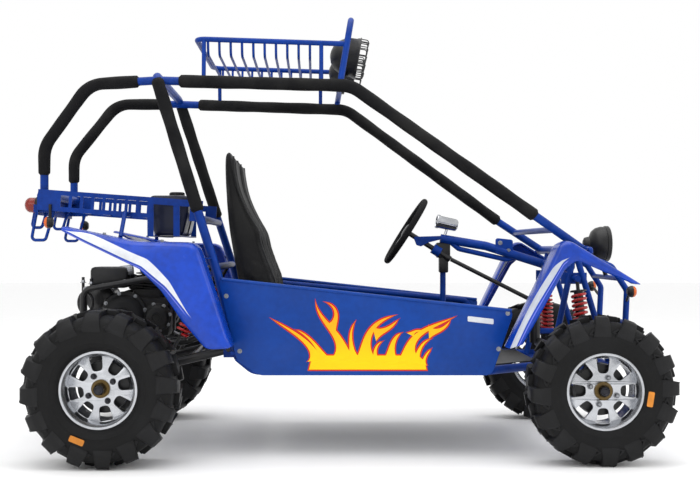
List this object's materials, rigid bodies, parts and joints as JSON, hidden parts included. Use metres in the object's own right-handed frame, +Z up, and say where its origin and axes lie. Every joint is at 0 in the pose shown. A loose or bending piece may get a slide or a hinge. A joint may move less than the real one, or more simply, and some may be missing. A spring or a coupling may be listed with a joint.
{
  "type": "two-seat dune buggy",
  "caption": "Open two-seat dune buggy with padded tube roll cage, roof basket and lamps, side panels, fenders, knobby tyres, steered front wheels and a solid rear axle.",
  "frame": {"origin": "on the ground, centred on the overall length and width", "axes": "+X forward, +Y to the vehicle's left, +Z up"},
  "size_m": [2.4284, 1.4, 1.6684],
  "materials": {
    "blue_paint": "gloss powder coat",
    "blue_panel": "gloss sheet paint",
    "blue_plastic": "gloss moulded plastic",
    "tank_paint": "semi-gloss",
    "foam": "matt closed-cell foam",
    "black_plastic": "satin",
    "black_steel": "satin black",
    "steel": "zinc plated",
    "spring_red": "gloss",
    "vinyl": "soft vinyl",
    "engine_black": "matt black",
    "chrome": "polished",
    "amber": "clear amber",
    "red_lens": "clear red",
    "alloy": "polished",
    "tyre": "matt"
  },
  "bodies": {
    "chassis": {"lower_frame": "blue_paint", "main_hoop": "blue_paint", "roof_rails": "blue_paint", "rear_stays": "blue_paint", "cage_cross_tubes": "blue_paint", "waist_rails": "blue_paint", "light_hoop": "blue_paint", "roof_basket": "blue_paint", "rear_rack": "blue_paint", "front_bumper": "blue_paint", "front_arms": "blue_paint", "fender_brackets": "blue_paint", "dash_frame": "blue_paint", "side_panel_left": "blue_panel", "side_panel_right": "blue_panel", "front_fender_left": "blue_plastic", "front_fender_right": "blue_plastic", "rear_fender_left": "blue_plastic", "rear_fender_right": "blue_plastic", "fuel_tank": "tank_paint", "cage_foam": "foam", "roof_lamps": "black_plastic", "headlamp": "black_plastic", "pedals": "black_plastic", "floor_pan": "black_steel", "swing_arm": "black_steel", "engine_cradle": "black_steel", "shock_dampers": "black_steel", "rack_housing": "black_steel", "shock_springs": "spring_red", "seat_left": "vinyl", "seat_right": "vinyl", "engine": "engine_black", "gauge": "chrome", "indicators": "amber", "tail_lamps": "red_lens"},
    "steering_wheel": {"steering_wheel": "black_plastic", "steering_column": "black_steel"},
    "steering_shaft": {"steering_shaft": "black_steel"},
    "steering_rack": {"steering_rack": "steel"},
    "knuckle_left": {"knuckle_left": "black_steel"},
    "knuckle_right": {"knuckle_right": "black_steel"},
    "front_wheel_left": {"front_rim_left": "alloy", "front_tyre_left": "tyre"},
    "front_wheel_right": {"front_rim_right": "alloy", "front_tyre_right": "tyre"},
    "rear_axle": {"rear_axle": "steel", "rear_rim_left": "alloy", "rear_rim_right": "alloy", "rear_tyre_left": "tyre", "rear_tyre_right": "tyre"}
  },
  "joints": [
    {"name": "steer", "type": "hinge", "parent": "chassis", "child": "steering_wheel", "pos_m": [0.308, 0.24, 0.85], "axis": [0.8454, 0, -0.5342], "range_deg": [-100, 100]},
    {"name": "shaft_turn", "type": "hinge", "parent": "chassis", "child": "steering_shaft", "pos_m": [0.49, 0.24, 0.735], "axis": [0.8788, -0.1517, -0.4525], "range_deg": [-100, 100]},
    {"name": "rack_slide", "type": "slide", "parent": "chassis", "child": "steering_rack", "axis": [0, 1, 0], "range_m": [-0.0317, 0.0317]},
    {"name": "knuckle_left_turn", "type": "hinge", "parent": "chassis", "child": "knuckle_left", "pos_m": [0.947, 0.432, 0.267], "axis": [0, 0, -1], "range_deg": [-25, 25]},
    {"name": "front_wheel_left_spin", "type": "hinge", "parent": "knuckle_left", "child": "front_wheel_left", "pos_m": [0.947, 0.551, 0.267], "axis": [0, 1, 0], "continuous": true},
    {"name": "knuckle_right_turn", "type": "hinge", "parent": "chassis", "child": "knuckle_right", "pos_m": [0.947, -0.432, 0.267], "axis": [0, 0, -1], "range_deg": [-25, 25]},
    {"name": "front_wheel_right_spin", "type": "hinge", "parent": "knuckle_right", "child": "front_wheel_right", "pos_m": [0.947, -0.551, 0.267], "axis": [0, 1, 0], "continuous": true},
    {"name": "rear_axle_spin", "type": "hinge", "parent": "chassis", "child": "rear_axle", "pos_m": [-0.843, 0, 0.279], "axis": [0, 1, 0], "continuous": true}
  ],
  "couplings": [
    {"joint": "shaft_turn", "follows": "steer", "ratio": 1},
    {"joint": "rack_slide", "follows": "steer", "m_per_rad": 0.018161},
    {"joint": "knuckle_left_turn", "follows": "steer", "ratio": 0.25},
    {"joint": "knuckle_right_turn", "follows": "steer", "ratio": 0.25}
  ]
}
